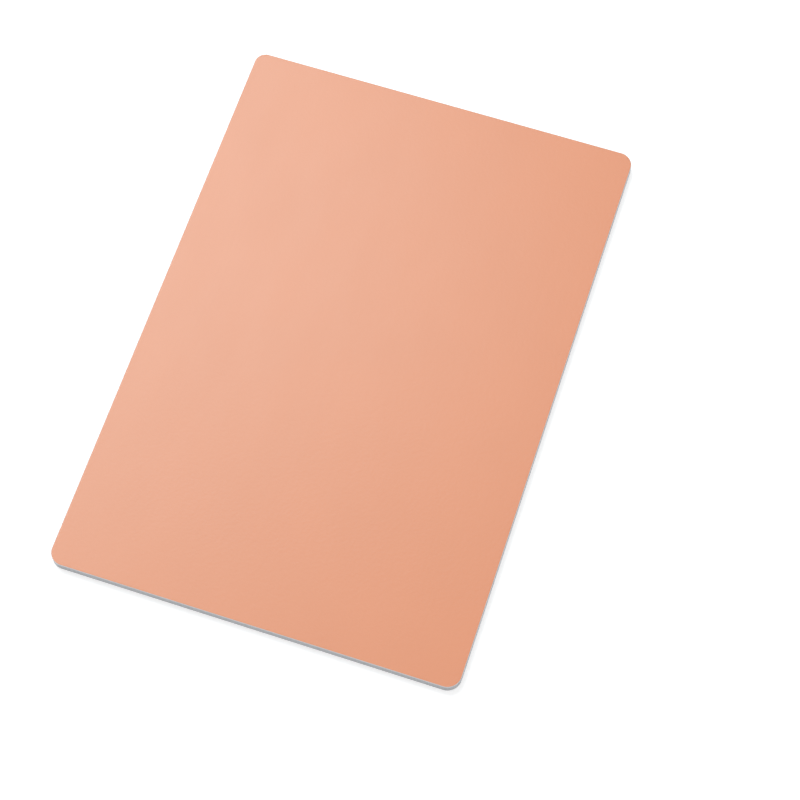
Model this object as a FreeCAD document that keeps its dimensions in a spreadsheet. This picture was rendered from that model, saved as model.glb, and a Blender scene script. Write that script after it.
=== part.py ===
import FreeCAD, Part
import math
import os
import Sketcher

# Aluminium composite panel, cut to a hand-size piece of stock that lies flat, in millimetres.
# It is a sandwich of three layers bonded face to face: a colour-coated aluminium face sheet,
# a polyethylene core, and an aluminium back sheet with a plain service coat.
#
# Frame: the origin is the centre of the underside. +X runs along the width, +Y along the
# length towards the back edge, and +Z up through the layers to the coated face.

# Driving dimensions: cell name, value, what it measures
SIZES = [
    ("panel_width", 145.0, "across the panel, along X"),
    ("panel_length", 210.0, "along the panel, along Y"),
    ("corner_radius", 5.0, "rounding of three of the four corners, seen from above"),
    ("back_left_radius", 4.0, "rounding of the tighter fourth corner"),
    ("back_sheet_thickness", 0.5, "aluminium sheet on the underside"),
    ("core_thickness", 3.0, "polyethylene core"),
    ("face_sheet_thickness", 0.5, "aluminium sheet under the colour coat"),
    ("face_edge_radius", 0.2, "rounded rim of the coated face, where the cutter broke the edge"),
    ("back_edge_radius", 0.1, "rounded rim of the underside"),
]
FIRST_ROW = 2

# The layers from the floor up: name, its thickness cell, and the cells of those below it
LAYERS = [
    ("back_sheet", "back_sheet_thickness", []),
    ("core", "core_thickness", ["back_sheet_thickness"]),
    ("face_sheet", "face_sheet_thickness", ["back_sheet_thickness", "core_thickness"]),
]

# The straight sides of the outline, anticlockwise from the front, and the corner after each
SIDES = ["front", "right", "back", "left"]
CORNER_RADII = {
    "front": "corner_radius",
    "right": "corner_radius",
    "back": "back_left_radius",
    "left": "corner_radius",
}

# How a sketch names the ends of a line or arc, and its own origin
START = 1
END = 2
ORIGIN = -1

# Heights closer than this are level
FLAT = 1e-6


def make_sheet(doc):
    """The spreadsheet that holds every driving dimension, with a word alias for each."""
    sheet = doc.addObject("Spreadsheet::Sheet", "Sizes")
    sheet.set("A1", "Dimension (mm)")
    sheet.set("B1", "Value")
    sheet.set("C1", "Measures")
    for row, (alias, value, meaning) in enumerate(SIZES, FIRST_ROW):
        sheet.set(f"A{row}", alias)
        sheet.set(f"B{row}", str(value))
        sheet.set(f"C{row}", meaning)
        sheet.setAlias(f"B{row}", alias)
    doc.recompute()
    return sheet


def origin_plane(body, role):
    """One of a body's own origin planes, such as XY_Plane."""
    return next(plane for plane in body.Origin.OriginFeatures if plane.Role == role)


def corner_points(sheet):
    """Where the outline's straight sides start and end, and the centre of the arc after each."""
    x = sheet.panel_width / 2
    y = sheet.panel_length / 2
    r = {side: getattr(sheet, cell) for side, cell in CORNER_RADII.items()}
    sides = {
        "front": ((-x + r["left"], -y), (x - r["front"], -y)),
        "right": ((x, -y + r["front"]), (x, y - r["right"])),
        "back": ((x - r["right"], y), (-x + r["back"], y)),
        "left": ((-x, y - r["back"]), (-x, -y + r["left"])),
    }
    centres = {
        "front": (x - r["front"], -y + r["front"]),
        "right": (x - r["right"], y - r["right"]),
        "back": (-x + r["back"], y - r["back"]),
        "left": (-x + r["left"], -y + r["left"]),
    }
    return sides, centres, r


def draw_outline(sketch, sheet):
    """Four straight sides joined by four tangent arcs. Returns the index of each side and arc."""
    sides, centres, radii = corner_points(sheet)
    line, arc = {}, {}
    quarter = math.pi / 2
    for turn, side in enumerate(SIDES):
        start, end = (FreeCAD.Vector(px, py, 0) for px, py in sides[side])
        line[side] = sketch.addGeometry(Part.LineSegment(start, end), False)
        centre = FreeCAD.Vector(*centres[side], 0)
        circle = Part.Circle(centre, FreeCAD.Vector(0, 0, 1), radii[side])
        first = (turn - 1) * quarter
        arc[side] = sketch.addGeometry(Part.ArcOfCircle(circle, first, first + quarter), False)
    return line, arc


def constrain(sketch, *constraint, name="", formula=""):
    """Adds one constraint, and ties it to the spreadsheet where it has a formula."""
    index = sketch.addConstraint(Sketcher.Constraint(*constraint))
    if formula:
        sketch.renameConstraint(index, name)
        sketch.setExpression(f"Constraints.{name}", formula)


def constrain_outline(sketch, sheet, line, arc):
    """Closes the outline with tangent corners and ties its sides and radii to the sizes."""
    for side, after in zip(SIDES, SIDES[1:] + SIDES[:1]):
        constrain(sketch, "Tangent", line[side], END, arc[side], START)
        constrain(sketch, "Tangent", arc[side], END, line[after], START)
    for side in ("front", "back"):
        constrain(sketch, "Horizontal", line[side])
    for side in ("right", "left"):
        constrain(sketch, "Vertical", line[side])
    half_width = sheet.panel_width / 2
    half_length = sheet.panel_length / 2
    constrain(sketch, "DistanceX", line["left"], START, ORIGIN, START, half_width,
              name="to_left", formula="Sizes.panel_width / 2")
    constrain(sketch, "DistanceX", ORIGIN, START, line["right"], START, half_width,
              name="to_right", formula="Sizes.panel_width / 2")
    constrain(sketch, "DistanceY", line["front"], START, ORIGIN, START, half_length,
              name="to_front", formula="Sizes.panel_length / 2")
    constrain(sketch, "DistanceY", ORIGIN, START, line["back"], START, half_length,
              name="to_back", formula="Sizes.panel_length / 2")
    for side, cell in CORNER_RADII.items():
        constrain(sketch, "Radius", arc[side], getattr(sheet, cell),
                  name=f"corner_after_{side}", formula=f"Sizes.{cell}")


def make_layer(doc, sheet, name, thickness, below):
    """One layer of the sandwich: the panel's outline, raised by the layer's thickness."""
    body = doc.addObject("PartDesign::Body", name)
    body.Label = name
    sketch = body.newObject("Sketcher::SketchObject", f"{name}_outline")
    sketch.AttachmentSupport = (origin_plane(body, "XY_Plane"), [""])
    sketch.MapMode = "FlatFace"
    constrain_outline(sketch, sheet, *draw_outline(sketch, sheet))
    pad = body.newObject("PartDesign::Pad", f"{name}_pad")
    pad.Profile = sketch
    pad.setExpression("Length", f"Sizes.{thickness}")
    if below:
        body.setExpression("Placement.Base.z", " + ".join(f"Sizes.{cell}" for cell in below))
    doc.recompute()
    return body


def round_rim(doc, body, height, radius):
    """Rounds every edge of a layer's flat face at one height above the layer's own base."""
    pad = body.Tip
    rim = [
        f"Edge{number}"
        for number, edge in enumerate(pad.Shape.Edges, 1)
        if all(abs(vertex.Z - height) < FLAT for vertex in edge.Vertexes)
    ]
    fillet = body.newObject("PartDesign::Fillet", f"{body.Name}_rim")
    fillet.Base = (pad, rim)
    fillet.setExpression("Radius", f"Sizes.{radius}")
    doc.recompute()


def check(doc, bodies):
    """Stops if any object failed to compute or any layer isn't one valid solid."""
    for obj in doc.Objects:
        if "Invalid" in obj.State or "Error" in obj.State:
            raise RuntimeError(f"{obj.Label} failed: {obj.State}")
    for body in bodies:
        if body.Shape.isNull() or not body.Shape.isValid():
            raise RuntimeError(f"{body.Label} has no valid shape")
        if len(body.Shape.Solids) != 1:
            raise RuntimeError(f"{body.Label} isn't one solid")


def main():
    doc = FreeCAD.newDocument("composite_panel")
    sheet = make_sheet(doc)
    layers = {
        name: make_layer(doc, sheet, name, thickness, below)
        for name, thickness, below in LAYERS
    }
    round_rim(doc, layers["face_sheet"], sheet.face_sheet_thickness, "face_edge_radius")
    round_rim(doc, layers["back_sheet"], 0.0, "back_edge_radius")
    doc.recompute()
    check(doc, layers.values())
    os.makedirs("parts", exist_ok=True)
    for name, body in layers.items():
        body.Shape.exportStep(f"parts/{name}.step")
        box = body.Shape.optimalBoundingBox()
        print(f"{name}: {box.XLength:.2f} x {box.YLength:.2f} x {box.ZLength:.2f} mm, "
              f"z {box.ZMin:.2f} to {box.ZMax:.2f}, volume {body.Shape.Volume:.1f} mm3")


main()
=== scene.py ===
import math

import bpy
import numpy as np
from mathutils import Matrix, Vector
from mathutils.geometry import delaunay_2d_cdt


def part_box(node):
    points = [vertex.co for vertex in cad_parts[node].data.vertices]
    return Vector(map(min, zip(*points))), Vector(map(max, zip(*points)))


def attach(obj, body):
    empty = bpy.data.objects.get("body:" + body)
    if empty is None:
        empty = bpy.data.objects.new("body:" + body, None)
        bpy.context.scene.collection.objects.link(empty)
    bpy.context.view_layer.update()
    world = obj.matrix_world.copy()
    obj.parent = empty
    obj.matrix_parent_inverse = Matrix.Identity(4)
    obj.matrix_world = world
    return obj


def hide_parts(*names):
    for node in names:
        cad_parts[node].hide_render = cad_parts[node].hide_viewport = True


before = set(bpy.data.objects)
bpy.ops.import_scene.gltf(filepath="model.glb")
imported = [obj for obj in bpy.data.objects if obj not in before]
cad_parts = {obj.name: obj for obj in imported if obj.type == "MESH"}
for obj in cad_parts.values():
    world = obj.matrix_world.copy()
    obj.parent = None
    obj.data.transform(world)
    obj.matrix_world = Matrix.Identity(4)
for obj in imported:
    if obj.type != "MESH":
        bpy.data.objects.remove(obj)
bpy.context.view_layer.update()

# The dressed panel. Each layer of the sandwich becomes a closed mesh of its own, with the outline,
# corner radii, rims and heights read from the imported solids, and a router's marks on its cut edge.
# Lengths are in metres, and MM turns a value in millimetres into metres.
MM = 0.001

# The router that cut the outline: one flute's advance for each turn, and the cutter's radius
CUTTER_ADVANCE = 0.5 * MM
CUTTER_RADIUS = 2.0 * MM
COLUMNS_PER_MARK = 4
# How much of a mark's full depth is cut where the feed runs smoothest, and how far apart the
# swells between smooth and rough come. Each of the swells that add up has how many times as often
# as the first it comes, how many more of it go round the outline, and its phase.
SMOOTHEST_MARK = 0.35
MARK_SWELL = 9.0 * MM
MARK_SWELLS = ((1, 0, 0.0), (2, 3, 1.0), (5, 1, 2.0))

# The cut faces: each layer's edge meets the next in a fine groove, and the core shrinks back
RIM_STEPS = 5
BOND_CHAMFER = 0.03 * MM
CORE_RECESS = 0.03 * MM
CORE_LIP = 0.12 * MM

# The flat faces: rings of points that thin out inwards, as inset and columns skipped, then a grid
CAP_RINGS = ((0.45 * MM, 2), (0.95 * MM, 4), (1.8 * MM, 8))
GRID_MARGIN = 2.9 * MM
GRID_SPACING = 3.0 * MM

# Places closer than the first are level, and points closer than the second are one. Edges that
# turn by more than this angle are drawn sharp.
LEVEL = 0.001 * MM
ONE_POINT = 1e-6 * MM
SHARP_ANGLE = math.radians(35)

# Where each coat stops, measured over the rim from the edge of the flat face, how far that line
# wanders, and how soft it is
COAT_END = 0.04 * MM
SERVICE_COAT_END = 0.02 * MM
COAT_WANDER = 0.05 * MM
COAT_FADE = 0.006 * MM

# Colours, linear. The peach coat's gloss is a little cooler than the light that falls on it.
PEACH = (0.747, 0.277, 0.141)
PEACH_GLOSS = (0.75, 1.0, 1.0)
BARE_ALUMINIUM = (0.535, 0.53, 0.54)
CORE_GREY = (0.505, 0.51, 0.53)
SERVICE_COAT = (0.60, 0.61, 0.60)
FLOOR_WHITE = (0.80, 0.80, 0.80)
PURE_WHITE = (1.0, 1.0, 1.0)

# Patterns. A density is bumps for each millimetre, for each axis on its own where it is stretched:
# the row frame's axes on a face, and the run and the profile on a cut edge. Shades are shares of a
# colour. Nearly all of a noise's values lie in its spread, and patches show its upper part only.
NOISE_SPREAD = (0.3, 0.7)
PATCH_SPREAD = (0.35, 0.7)

# The cutter's upright streaks on every cut edge, and the bare metal there
STREAK_DENSITY = (3.2, 0.22, 1.0)
STREAK_DETAIL = 5.0
STREAK_ROUGHNESS = 0.62
COAT_END_DENSITY = 2.2
METAL_SHADES = (0.82, 1.12)
METAL_ROUGHNESS = (0.48, 0.32)
METAL_STREAK_DEPTH = 0.02 * MM

# The peach coat: clouds, roller lines, pigment grain and specks, whose rim is in cells of their
# pattern, then smears and satin grain in its roughness, then orange peel under a finer grain, with
# heights in millimetres
PEACH_METALLIC = 0.0
CLOUD_DENSITY = 0.03
CLOUD_CONTRAST = 0.010
ROLLER_DENSITY = (0.9, 0.012, 1.0)
ROLLER_CONTRAST = 0.003
PIGMENT_DENSITY = 4.5
PIGMENT_CONTRAST = 0.03
SPECK_DENSITY = 0.11
SPECK_RIM = (0.010, 0.016)
SPECK_STRENGTH = 0.35
SPECK_SHADE = 0.6
SMEAR_DENSITY = (0.10, 0.035, 1.0)
PEACH_ROUGHNESS = (0.32, 0.335)
SATIN_DENSITY = 6.0
SATIN_ROUGHNESS = (-0.02, 0.02)
PEEL_DENSITY = 1.1
PEEL_HEIGHT = 0.02
GRAIN_DENSITY = 7.0
GRAIN_HEIGHT = 0.004

# The service coat: the sheet's mill lines show through it, with faint patches
SERVICE_METALLIC = 0.25
MILL_DENSITY = (2.2, 0.02, 1.0)
MILL_ROUGHNESS = 0.6
MILL_SHADES = (0.93, 1.04)
SERVICE_PATCH_DENSITY = 0.05
SERVICE_PATCH_STRENGTH = 0.12
SERVICE_PATCH_SHADE = 0.85
SERVICE_ROUGHNESS = (0.42, 0.55)
MILL_RELIEF_DENSITY = (3.0, 0.03, 1.0)
MILL_RELIEF_HEIGHT = 0.004

# The core: streaks, mottling, painted shade along each bond in the groove under the sheet, whole up to
# the first distance from the bond and gone by the second, in millimetres, and pits with painted shade
# in them, with sizes in cells of their pattern
CORE_SHADES = (0.86, 1.10)
CORE_ROUGHNESS = (0.62, 0.46)
MOTTLE_DENSITY = (0.7, 1.6, 1.0)
MOTTLE_STRENGTH = 0.5
MOTTLE_SHADE = 0.88
PAINTED_BOND_SHADE_REACH = (0.02, 0.16)
PAINTED_BOND_SHADE_STRENGTH = 0.6
PAINTED_BOND_SHADE = 0.35
PIT_DENSITY = 1.1
PIT_SIZE = 0.11
PIT_RAGGED_DENSITY = 9.0
PIT_RAGGED_SIZE = 0.2
PIT_RIM = 0.10
PAINTED_PIT_SHADE_STRENGTH = 0.75
PAINTED_PIT_SHADE = 0.3
CORE_RELIEF = 0.03 * MM

# The floor: its size, how far it lies under the panel, and how much it glows where it is seen
FLOOR_SIZE = 4.0
FLOOR_DROP = 0.02 * MM
FLOOR_GLOW = 0.45

# The studio: even light from all round, and one softbox behind the panel to the left. Azimuth
# turns from +Y towards -X, and brightness is the lamp's radiance, where 1 shows as white.
WORLD_LIGHT = 0.66
SOFTBOX_AZIMUTH = math.radians(45.5)
SOFTBOX_ELEVATION = math.radians(58.0)
SOFTBOX_DISTANCE = 2.92
SOFTBOX_WIDTH = 1.71
SOFTBOX_HEIGHT = 1.25
SOFTBOX_BRIGHTNESS = 6.34
SOFTBOX_TINT = (0.90, 1.0, 1.05)

# The camera, in the row frame: heading to the left of +Y, pitch below the horizon, roll clockwise
CAMERA_PLACE = Vector((127.40, -293.24, 699.14)) * MM
CAMERA_HEADING = math.radians(20.58)
CAMERA_PITCH = math.radians(66.66)
CAMERA_ROLL = math.radians(2.36)
CAMERA_LENS = 98.55
CAMERA_SENSOR = 36.0

EDGE_MAP = "edge_map"


# Reading the panel's shape from the frame

def corner_radius(node, side_x, side_y):
    """The radius of one corner of a node, from where its straight side ends."""
    low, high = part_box(node)
    wall = high.x if side_x > 0 else low.x
    points = [v.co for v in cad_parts[node].data.vertices]
    reach = max(side_y * p.y for p in points if abs(p.x - wall) < LEVEL)
    return (high.y if side_y > 0 else -low.y) - reach


def rim_radius(node, at_top):
    """The radius that rounds a node's rim, from how far its flat face stays inside its box."""
    low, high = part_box(node)
    height = high.z if at_top else low.z
    points = [v.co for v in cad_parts[node].data.vertices]
    return high.x - max(p.x for p in points if abs(p.z - height) < LEVEL)


class Outline:
    """The panel's outline from above, anticlockwise, as evenly spaced columns: a point, an
    outward normal and the run along the outline up to it."""

    def __init__(self, node):
        _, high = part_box(node)
        self.half_x = high.x
        self.half_y = high.y
        corners = ((1, -1), (1, 1), (-1, 1), (-1, -1))
        self.radii = {corner: corner_radius(node, *corner) for corner in corners}
        spans = self.spans(corners)
        self.length = sum(span["length"] for span in spans)
        marks = round(self.length / CUTTER_ADVANCE)
        self.count = marks * COLUMNS_PER_MARK
        self.mark = self.length / marks
        self.run = np.arange(self.count) * self.length / self.count
        self.points = np.zeros((self.count, 2))
        self.normals = np.zeros((self.count, 2))
        self.place_columns(spans)

    def spans(self, corners):
        """The sides and corner arcs in order, starting at the left end of the front side."""
        spans = []
        for index, corner in enumerate(corners):
            heading = index * math.pi / 2
            along = np.array((math.cos(heading), math.sin(heading)))
            outward = np.array((along[1], -along[0]))
            before = self.radii[corners[index - 1]]
            after = self.radii[corner]
            half = self.half_x if index % 2 == 0 else self.half_y
            off = self.half_y if index % 2 == 0 else self.half_x
            start = outward * off - along * (half - before)
            spans.append({"length": 2 * half - before - after, "start": start, "along": along,
                          "outward": outward, "radius": None})
            centre = outward * (off - after) + along * (half - after)
            spans.append({"length": after * math.pi / 2, "start": centre, "along": along,
                          "outward": outward, "radius": after})
        return spans

    def place_columns(self, spans):
        """Gives each column its point and normal on the side or arc that its run falls on."""
        begun = 0.0
        for span in spans:
            here = (self.run >= begun) & (self.run < begun + span["length"])
            travel = (self.run[here] - begun)[:, None]
            if span["radius"] is None:
                self.points[here] = span["start"] + travel * span["along"]
                self.normals[here] = span["outward"]
            else:
                turn = travel / span["radius"]
                normal = np.cos(turn) * span["outward"] + np.sin(turn) * span["along"]
                self.points[here] = span["start"] + span["radius"] * normal
                self.normals[here] = normal
            begun += span["length"]

    def inset(self, depth):
        """The outline moved inwards by a depth, one for all columns or one for each."""
        return self.points - np.reshape(depth, (-1, 1)) * self.normals

    def cutter_marks(self):
        """How deep the cutter bit into each column: scallops whose ridges stay on the outline."""
        from_valley = np.abs((self.run / self.mark) % 1.0 - 0.5) * self.mark
        scallop = ((self.mark / 2) ** 2 - from_valley ** 2) / (2 * CUTTER_RADIUS)
        turns = round(self.length / MARK_SWELL)
        round_once = 2 * math.pi * self.run / self.length
        swells = [np.sin(phase + (often * turns + more) * round_once)
                  for often, more, phase in MARK_SWELLS]
        swell = sum(swells) / len(swells)
        share = SMOOTHEST_MARK + (1 - SMOOTHEST_MARK) * (0.5 + 0.5 * swell)
        return scallop * share


# Building the meshes

def cap_points(outline, first_inset):
    """Points inside the outline for a flat face: rings that thin out, then a grid."""
    points = []
    for inset, skip in CAP_RINGS:
        points.extend(map(tuple, outline.inset(first_inset + inset)[::skip]))
    reach_x = outline.half_x - GRID_MARGIN
    reach_y = outline.half_y - GRID_MARGIN
    steps_x = round(2 * reach_x / GRID_SPACING)
    steps_y = round(2 * reach_y / GRID_SPACING)
    for x in np.linspace(-reach_x, reach_x, steps_x + 1):
        for y in np.linspace(-reach_y, reach_y, steps_y + 1):
            points.append((x, y))
    return points


def fill_cap(ring, inner):
    """Triangles, anticlockwise from above, that fill a ring of points through the inner ones."""
    flat = [Vector(p) for p in ring] + [Vector(p) for p in inner]
    _, _, faces, origin, _, _ = delaunay_2d_cdt(flat, [], [list(range(len(ring)))], 1, ONE_POINT)
    return [tuple(origin[corner][0] for corner in face) for face in faces]


def layer_mesh(name, outline, rows):
    """A closed mesh from rows of the edge's profile, from the upper face's border down to the
    lower face's border. A row is (inset for each column, height, distance over the profile)."""
    count = outline.count
    rings = [outline.inset(inset) for inset, _, _ in rows]
    verts = [np.column_stack((ring, np.full(count, height)))
             for ring, (_, height, _) in zip(rings, rows)]
    faces = []
    column = np.arange(count)
    after = (column + 1) % count
    for row in range(len(rows) - 1):
        quads = np.column_stack((row * count + column, (row + 1) * count + column,
                                 (row + 1) * count + after, row * count + after))
        faces.extend(map(tuple, quads.tolist()))
    base = len(rows) * count
    for row, upward in ((0, True), (len(rows) - 1, False)):
        inset, height, _ = rows[row]
        inner = cap_points(outline, float(np.mean(inset)))
        verts.append(np.column_stack((inner, np.full(len(inner), height))))
        for triangle in fill_cap(rings[row], inner):
            corners = [row * count + p if p < count else base + p - count for p in triangle]
            faces.append(tuple(corners if upward else corners[::-1]))
        base += len(inner)
    mesh = bpy.data.meshes.new(name)
    mesh.from_pydata(np.vstack(verts).tolist(), [], faces)
    mesh.update()
    write_edge_map(mesh, outline, rows)
    mesh.shade_smooth()
    mesh.set_sharp_from_angle(angle=SHARP_ANGLE)
    return mesh


def write_edge_map(mesh, outline, rows):
    """A UV map in millimetres: u runs along the outline, v over the edge's profile from the
    upper face's border. On the flat faces v is minus the way in from their border."""
    count = outline.count
    u = np.zeros(len(mesh.vertices))
    v = np.full(len(mesh.vertices), -GRID_MARGIN)
    u[:len(rows) * count] = np.tile(outline.run, len(rows))
    v[:len(rows) * count] = np.repeat([travel for _, _, travel in rows], count)
    corner = np.zeros(len(mesh.loops), dtype=np.int32)
    mesh.loops.foreach_get("vertex_index", corner)
    loop_u = u[corner]
    loop_v = v[corner]
    # The last quad of each row ends where the run begins again: its third and fourth corners
    quads = (len(rows) - 1) * count
    last = np.arange(count - 1, quads, count)
    loop_u[last * 4 + 2] = outline.length
    loop_u[last * 4 + 3] = outline.length
    layer = mesh.uv_layers.new(name=EDGE_MAP)
    layer.data.foreach_set("uv", np.column_stack((loop_u, loop_v)).ravel() / MM)


def rounded_rows(marks, radius, z_flat, z_wall, start):
    """Rows over a rim: a quarter circle from the flat face at z_flat to the wall."""
    rows = []
    side = math.copysign(1, z_flat - z_wall)
    for step in range(RIM_STEPS + 1):
        turn = step / RIM_STEPS * math.pi / 2
        inset = radius * (1 - math.sin(turn)) + marks * math.sin(turn)
        height = z_flat - side * radius * (1 - math.cos(turn))
        rows.append((inset, height, start + radius * turn))
    return rows


def face_sheet_rows(outline):
    low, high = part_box("face_sheet")
    radius = rim_radius("face_sheet", True)
    marks = outline.cutter_marks()
    rows = rounded_rows(marks, radius, high.z, low.z, 0.0)
    wall = rows[-1][2] + high.z - radius - low.z
    rows.append((marks, low.z + BOND_CHAMFER, wall - BOND_CHAMFER))
    rows.append((marks + BOND_CHAMFER, low.z, wall))
    return rows


def core_rows(outline):
    low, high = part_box("core")
    marks = outline.cutter_marks()
    depth = high.z - low.z
    return [
        (marks + CORE_RECESS + BOND_CHAMFER, high.z, 0.0),
        (marks + CORE_RECESS, high.z - BOND_CHAMFER, BOND_CHAMFER),
        (marks + CORE_RECESS / 3, high.z - CORE_LIP, CORE_LIP),
        (marks, (low.z + high.z) / 2, depth / 2),
        (marks + CORE_RECESS / 3, low.z + CORE_LIP, depth - CORE_LIP),
        (marks + CORE_RECESS, low.z + BOND_CHAMFER, depth - BOND_CHAMFER),
        (marks + CORE_RECESS + BOND_CHAMFER, low.z, depth),
    ]


def back_sheet_rows(outline):
    low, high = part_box("back_sheet")
    radius = rim_radius("back_sheet", False)
    marks = outline.cutter_marks()
    rim = rounded_rows(marks, radius, low.z, high.z, 0.0)
    wall = rim[-1][2] + high.z - radius - low.z
    rows = [
        (marks + BOND_CHAMFER, high.z, wall),
        (marks, high.z - BOND_CHAMFER, wall - BOND_CHAMFER),
    ]
    return rows + rim[::-1]


# Materials

def add(tree, kind, inputs=None, **settings):
    """Adds a node, sets its properties, and sets or links its inputs."""
    node = tree.nodes.new(kind)
    for key, value in settings.items():
        setattr(node, key, value)
    for key, value in (inputs or {}).items():
        if isinstance(value, bpy.types.NodeSocket):
            tree.links.new(value, node.inputs[key])
        else:
            node.inputs[key].default_value = value
    return node


def new_material(name):
    """A material with only its output and a Principled shader. Returns it, its tree and shader."""
    material = bpy.data.materials.new(name)
    material.use_nodes = True
    tree = material.node_tree
    tree.nodes.clear()
    shader = add(tree, "ShaderNodeBsdfPrincipled")
    add(tree, "ShaderNodeOutputMaterial", {"Surface": shader.outputs[0]})
    return material, tree, shader


def math_node(tree, operation, *values):
    inputs = dict(enumerate(values))
    return add(tree, "ShaderNodeMath", inputs, operation=operation).outputs[0]


def ramp(tree, value, from_low, from_high, to_low=0.0, to_high=1.0):
    """A value carried from one range to another and held at its ends."""
    inputs = {"Value": value, "From Min": from_low, "From Max": from_high,
              "To Min": to_low, "To Max": to_high}
    return add(tree, "ShaderNodeMapRange", inputs, clamp=True).outputs["Result"]


def spread(tree, pattern, low=0.0, high=1.0):
    """A noise's spread of values carried to a range."""
    return ramp(tree, pattern, *NOISE_SPREAD, low, high)


def patches(tree, pattern, strength):
    """The upper part of a noise, as patches that fade in up to a strength."""
    return ramp(tree, pattern, *PATCH_SPREAD, 0.0, strength)


def mix(tree, factor, first, second, data_type, blend="MIX"):
    """Two values or colours mixed by a factor. Each may be a socket or a plain number or colour."""
    node = add(tree, "ShaderNodeMix", data_type=data_type, blend_type=blend)
    sockets = {s.name: s for s in node.inputs if s.enabled}
    for key, value in (("Factor", factor), ("A", first), ("B", second)):
        if isinstance(value, bpy.types.NodeSocket):
            tree.links.new(value, sockets[key])
        else:
            sockets[key].default_value = (*value, 1.0) if isinstance(value, tuple) else value
    return next(s for s in node.outputs if s.enabled)


def mix_colour(tree, factor, first, second, blend="MIX"):
    return mix(tree, factor, first, second, "RGBA", blend)


def mix_value(tree, factor, first, second):
    return mix(tree, factor, first, second, "FLOAT")


def times(tree, value, factor):
    return math_node(tree, "MULTIPLY", value, factor)


def scaled(colour, factor):
    return tuple(channel * factor for channel in colour)


def shades(tree, share, colour, factors):
    """A colour between two shades of itself, as a share goes from 0 to 1."""
    darker, lighter = factors
    return mix_colour(tree, share, scaled(colour, darker), scaled(colour, lighter))


def shaded(tree, colour, pattern, contrast):
    """A colour made darker and lighter by a contrast on each side, as a noise goes."""
    shade = spread(tree, pattern, 1 - contrast, 1 + contrast)
    grey = add(tree, "ShaderNodeCombineColor", {"Red": shade, "Green": shade, "Blue": shade})
    return mix_colour(tree, 1.0, colour, grey.outputs[0], blend="MULTIPLY")


def noise(tree, vector, scale, detail=2.0, roughness=0.5):
    """Noise of about one bump for each 1 / scale of the vector's unit, near 0 to 1."""
    inputs = {"Vector": vector, "Scale": scale, "Detail": detail, "Roughness": roughness}
    return add(tree, "ShaderNodeTexNoise", inputs).outputs["Fac"]


def stretched(tree, vector, scale):
    """A vector with each of its axes scaled on its own."""
    return add(tree, "ShaderNodeMapping", {"Vector": vector, "Scale": scale}).outputs[0]


def stretched_noise(tree, vector, density, detail, roughness=0.5):
    """Noise whose density differs from axis to axis."""
    return noise(tree, stretched(tree, vector, density), 1.0, detail, roughness)


def cells(tree, vector, density):
    """A pattern of random cells: its node gives the distance to a cell's middle and its colour."""
    inputs = {"Vector": vector, "Scale": density, "Randomness": 1.0}
    return add(tree, "ShaderNodeTexVoronoi", inputs)


def place_mm(tree):
    """The point's place in the row frame, in millimetres."""
    point = add(tree, "ShaderNodeTexCoord").outputs["Object"]
    return stretched(tree, point, (1 / MM, 1 / MM, 1 / MM))


def edge_place(tree):
    """The point's run along the outline and its way over the edge's profile, in millimetres."""
    vector = add(tree, "ShaderNodeUVMap", uv_map=EDGE_MAP).outputs[0]
    return vector, add(tree, "ShaderNodeSeparateXYZ", {0: vector}).outputs["Y"]


def bare_share(tree, vector, travel, coat_end):
    """1 where the cutter left bare metal past the end of a coat, with a slightly ragged line."""
    along = stretched(tree, vector, (1.0, 0.0, 0.0))
    wander = noise(tree, along, COAT_END_DENSITY, detail=4.0)
    line = math_node(tree, "MULTIPLY_ADD", wander, COAT_WANDER / MM, travel)
    end = (coat_end + COAT_WANDER / 2) / MM
    return ramp(tree, line, end - COAT_FADE / MM, end + COAT_FADE / MM)


def cut_streaks(tree, vector):
    """Fine upright streaks that the cutter leaves across a cut edge, near 0 to 1."""
    return stretched_noise(tree, vector, STREAK_DENSITY, STREAK_DETAIL, STREAK_ROUGHNESS)


def coated_sheet(name, coat_end, coat_metallic, coat_colour, coat_rough, coat_height, coat_gloss=None):
    """A coated aluminium sheet whose cut edge is bare: the coat's colour, roughness and height
    come from functions of the tree. A coat's gloss may have a tint, which the metal hasn't."""
    material, tree, shader = new_material(name)
    place = place_mm(tree)
    vector, travel = edge_place(tree)
    bare = bare_share(tree, vector, travel, coat_end)
    streaks = cut_streaks(tree, vector)
    metal = shades(tree, spread(tree, streaks), BARE_ALUMINIUM, METAL_SHADES)
    rough_metal = spread(tree, streaks, *METAL_ROUGHNESS)
    finish = {
        "Base Color": mix_colour(tree, bare, coat_colour(tree, place), metal),
        "Roughness": mix_value(tree, bare, coat_rough(tree, place), rough_metal),
        "Metallic": mix_value(tree, bare, coat_metallic, 1.0),
        "Normal": sheet_normal(tree, coat_height(tree, place), times(tree, streaks, bare)),
    }
    if coat_gloss:
        finish["Specular Tint"] = mix_colour(tree, bare, coat_gloss, PURE_WHITE)
    for socket, value in finish.items():
        tree.links.new(value, shader.inputs[socket])
    return material


def sheet_normal(tree, coat_height, edge_height):
    """The bumps of a coat, with heights in millimetres, and those of the cut edge beside it."""
    coat = add(tree, "ShaderNodeBump", {"Height": coat_height, "Distance": MM})
    inputs = {"Height": edge_height, "Distance": METAL_STREAK_DEPTH, "Normal": coat.outputs[0]}
    return add(tree, "ShaderNodeBump", inputs).outputs[0]


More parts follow.
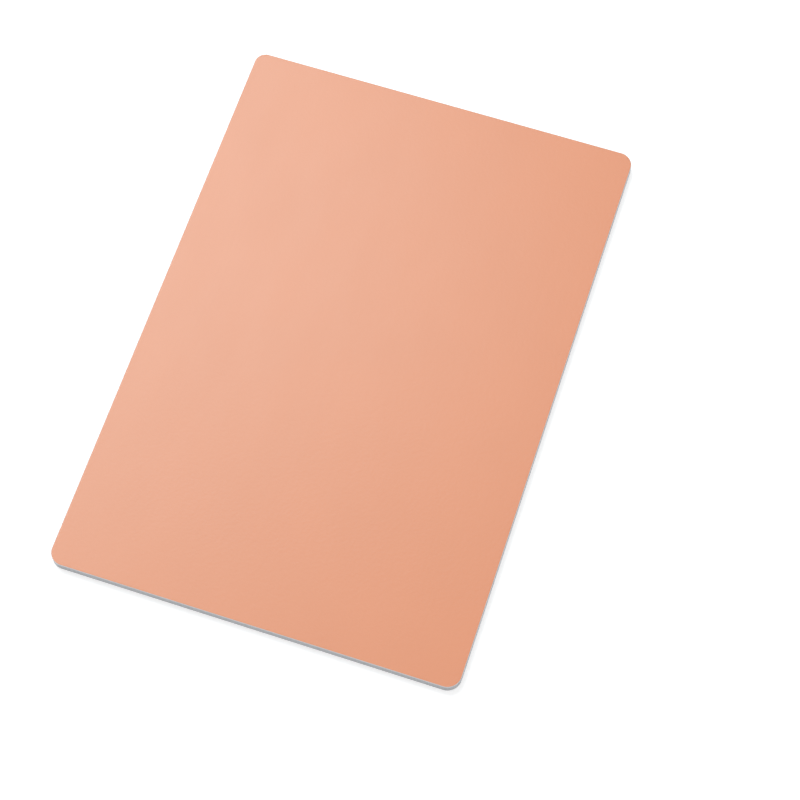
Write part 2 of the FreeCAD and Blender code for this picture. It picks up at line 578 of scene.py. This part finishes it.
def peach_colour(tree, place):
    """The coil coat: one even colour with a trace of cloud, roller lines, pigment grain and rare
    specks."""
    clouded = shaded(tree, PEACH, noise(tree, place, CLOUD_DENSITY), CLOUD_CONTRAST)
    roller_lines = stretched_noise(tree, place, ROLLER_DENSITY, detail=3.0)
    lined = shaded(tree, clouded, roller_lines, ROLLER_CONTRAST)
    grained = shaded(tree, lined, noise(tree, place, PIGMENT_DENSITY), PIGMENT_CONTRAST)
    from_speck = cells(tree, place, SPECK_DENSITY).outputs["Distance"]
    speck = ramp(tree, from_speck, *SPECK_RIM, 1.0, 0.0)
    return mix_colour(tree, times(tree, speck, SPECK_STRENGTH), grained, scaled(PEACH, SPECK_SHADE))


def peach_rough(tree, place):
    """Satin, with faint long smears and a fine grain."""
    smear = stretched_noise(tree, place, SMEAR_DENSITY, detail=3.0)
    grain = spread(tree, noise(tree, place, SATIN_DENSITY), *SATIN_ROUGHNESS)
    return math_node(tree, "ADD", spread(tree, smear, *PEACH_ROUGHNESS), grain)


def peach_height(tree, place):
    """Orange peel: soft swells about a millimetre across and under 0.01 mm high, with a fine
    satin grain on them."""
    peel = times(tree, noise(tree, place, PEEL_DENSITY, detail=1.0), PEEL_HEIGHT)
    return math_node(tree, "MULTIPLY_ADD", noise(tree, place, GRAIN_DENSITY), GRAIN_HEIGHT, peel)


def mill_lines(tree, place):
    """Long fine lines that the mill's rolls left along the sheet, near 0 to 1."""
    return stretched_noise(tree, place, MILL_DENSITY, 5.0, MILL_ROUGHNESS)


def service_colour(tree, place):
    """The pale service coat: mill lines of the sheet show through it."""
    tone = shades(tree, spread(tree, mill_lines(tree, place)), SERVICE_COAT, MILL_SHADES)
    cloud = noise(tree, place, SERVICE_PATCH_DENSITY, detail=3.0)
    patch = patches(tree, cloud, SERVICE_PATCH_STRENGTH)
    return mix_colour(tree, patch, tone, scaled(SERVICE_COAT, SERVICE_PATCH_SHADE))


def service_rough(tree, place):
    return spread(tree, mill_lines(tree, place), *SERVICE_ROUGHNESS)


def service_height(tree, place):
    return times(tree, stretched_noise(tree, place, MILL_RELIEF_DENSITY, 4.0), MILL_RELIEF_HEIGHT)


def core_pits(tree, vector):
    """1 in the ragged pits, one in some of the cells, that the cutter tore open."""
    pattern = cells(tree, vector, PIT_DENSITY)
    size = add(tree, "ShaderNodeSeparateColor", {0: pattern.outputs["Color"]}).outputs["Red"]
    ragged = times(tree, noise(tree, vector, PIT_RAGGED_DENSITY, detail=3.0), PIT_RAGGED_SIZE)
    from_rim = math_node(tree, "MULTIPLY_ADD", size, -PIT_SIZE, pattern.outputs["Distance"])
    return ramp(tree, math_node(tree, "ADD", from_rim, ragged), 0.0, PIT_RIM, 1.0, 0.0)


def core_colour(tree, vector, travel, streaks, pit):
    """Light grey: streaked and mottled, with painted shade along each bond and in the pits."""
    low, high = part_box("core")
    half = (high.z - low.z) / MM / 2
    tone = shades(tree, spread(tree, streaks), CORE_GREY, CORE_SHADES)
    mottle = patches(tree, stretched_noise(tree, vector, MOTTLE_DENSITY, detail=4.0), MOTTLE_STRENGTH)
    mottled = mix_colour(tree, mottle, tone, scaled(CORE_GREY, MOTTLE_SHADE))
    from_middle = math_node(tree, "ABSOLUTE", math_node(tree, "SUBTRACT", travel, half))
    full, none = (half - reach for reach in PAINTED_BOND_SHADE_REACH)
    # Painted shade: the core darkens towards each bond, in the groove under the sheet
    bond_shade_share = ramp(tree, from_middle, none, full, 0.0, PAINTED_BOND_SHADE_STRENGTH)
    bond_shaded = mix_colour(tree, bond_shade_share, mottled, scaled(CORE_GREY, PAINTED_BOND_SHADE))
    # Painted shade: the pits are darkened
    return mix_colour(tree, times(tree, pit, PAINTED_PIT_SHADE_STRENGTH), bond_shaded, scaled(CORE_GREY, PAINTED_PIT_SHADE))


def core_material():
    """Matt polyethylene with the cutter's streaks and pits."""
    material, tree, shader = new_material("polyethylene_core")
    vector, travel = edge_place(tree)
    streaks = cut_streaks(tree, vector)
    pit = core_pits(tree, vector)
    relief = {"Height": math_node(tree, "SUBTRACT", streaks, pit), "Distance": CORE_RELIEF}
    finish = {
        "Base Color": core_colour(tree, vector, travel, streaks, pit),
        "Roughness": spread(tree, streaks, *CORE_ROUGHNESS),
        "Normal": add(tree, "ShaderNodeBump", relief).outputs[0],
    }
    for socket, value in finish.items():
        tree.links.new(value, shader.inputs[socket])
    return material


# The pieces

def make_piece(name, node, rows, material, outline):
    mesh = layer_mesh(name, outline, rows)
    mesh.materials.append(material)
    piece = bpy.data.objects.new(name, mesh)
    bpy.context.scene.collection.objects.link(piece)
    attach(piece, "root")
    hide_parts(node)


def make_panel():
    outline = Outline("core")
    face = coated_sheet("peach_coated_aluminium", COAT_END, PEACH_METALLIC,
                        peach_colour, peach_rough, peach_height, PEACH_GLOSS)
    back = coated_sheet("service_coated_aluminium", SERVICE_COAT_END, SERVICE_METALLIC,
                        service_colour, service_rough, service_height)
    core = core_material()
    make_piece("face_sheet_dressed", "face_sheet", face_sheet_rows(outline), face, outline)
    make_piece("core_dressed", "core", core_rows(outline), core, outline)
    make_piece("back_sheet_dressed", "back_sheet", back_sheet_rows(outline), back, outline)


# The stage

def seen_directly(tree):
    """1 for rays that show the background: from the camera, or through gloss or glass."""
    path = add(tree, "ShaderNodeLightPath")
    either = math_node(tree, "MAXIMUM", path.outputs["Is Camera Ray"], path.outputs["Is Glossy Ray"])
    return math_node(tree, "MAXIMUM", either, path.outputs["Is Transmission Ray"])


def make_floor():
    """A white floor that takes the panel's shadow and glows just enough to show as white."""
    half = FLOOR_SIZE / 2
    corners = [(-half, -half), (half, -half), (half, half), (-half, half)]
    mesh = bpy.data.meshes.new("floor")
    mesh.from_pydata([(x, y, -FLOOR_DROP) for x, y in corners], [], [(0, 1, 2, 3)])
    material = bpy.data.materials.new("white_floor")
    material.use_nodes = True
    tree = material.node_tree
    tree.nodes.clear()
    paper = add(tree, "ShaderNodeBsdfDiffuse", {"Color": (*FLOOR_WHITE, 1.0)})
    strength = math_node(tree, "MULTIPLY", seen_directly(tree), FLOOR_GLOW)
    glow = add(tree, "ShaderNodeEmission", {"Strength": strength})
    both = add(tree, "ShaderNodeAddShader", {0: paper.outputs[0], 1: glow.outputs[0]})
    add(tree, "ShaderNodeOutputMaterial", {"Surface": both.outputs[0]})
    mesh.materials.append(material)
    floor = bpy.data.objects.new("floor", mesh)
    bpy.context.scene.collection.objects.link(floor)


def make_world():
    """Even white studio walls: a soft fill for the panel, and plain white where they show."""
    world = bpy.data.worlds.new("studio")
    bpy.context.scene.world = world
    world.use_nodes = True
    tree = world.node_tree
    tree.nodes.clear()
    strength = ramp(tree, seen_directly(tree), 0.0, 1.0, WORLD_LIGHT, 1.0)
    background = add(tree, "ShaderNodeBackground", {"Color": (*PURE_WHITE, 1.0), "Strength": strength})
    add(tree, "ShaderNodeOutputWorld", {"Surface": background.outputs[0]})


def make_softbox():
    """The key lamp: a flat rectangle of even light that faces the panel."""
    light = bpy.data.lights.new("key_softbox", "AREA")
    light.shape = "RECTANGLE"
    light.size = SOFTBOX_WIDTH
    light.size_y = SOFTBOX_HEIGHT
    light.energy = SOFTBOX_BRIGHTNESS * math.pi * SOFTBOX_WIDTH * SOFTBOX_HEIGHT
    light.color = SOFTBOX_TINT
    lamp = bpy.data.objects.new("key_softbox", light)
    level = math.cos(SOFTBOX_ELEVATION)
    way = Vector((-math.sin(SOFTBOX_AZIMUTH) * level, math.cos(SOFTBOX_AZIMUTH) * level,
                  math.sin(SOFTBOX_ELEVATION)))
    lamp.location = way * SOFTBOX_DISTANCE
    lamp.rotation_mode = "QUATERNION"
    lamp.rotation_quaternion = way.to_track_quat("Z", "Y")
    bpy.context.scene.collection.objects.link(lamp)


def make_camera():
    data = bpy.data.cameras.new("camera")
    data.lens = CAMERA_LENS
    data.sensor_width = CAMERA_SENSOR
    camera = bpy.data.objects.new("camera", data)
    turned = Matrix.Rotation(CAMERA_HEADING, 4, "Z")
    tilted = Matrix.Rotation(math.pi / 2 - CAMERA_PITCH, 4, "X")
    rolled = Matrix.Rotation(-CAMERA_ROLL, 4, "Z")
    camera.matrix_world = Matrix.Translation(CAMERA_PLACE) @ turned @ tilted @ rolled
    bpy.context.scene.collection.objects.link(camera)
    bpy.context.scene.camera = camera


make_panel()
make_floor()
make_world()
make_softbox()
make_camera()
bpy.context.scene.view_settings.view_transform = "Standard"
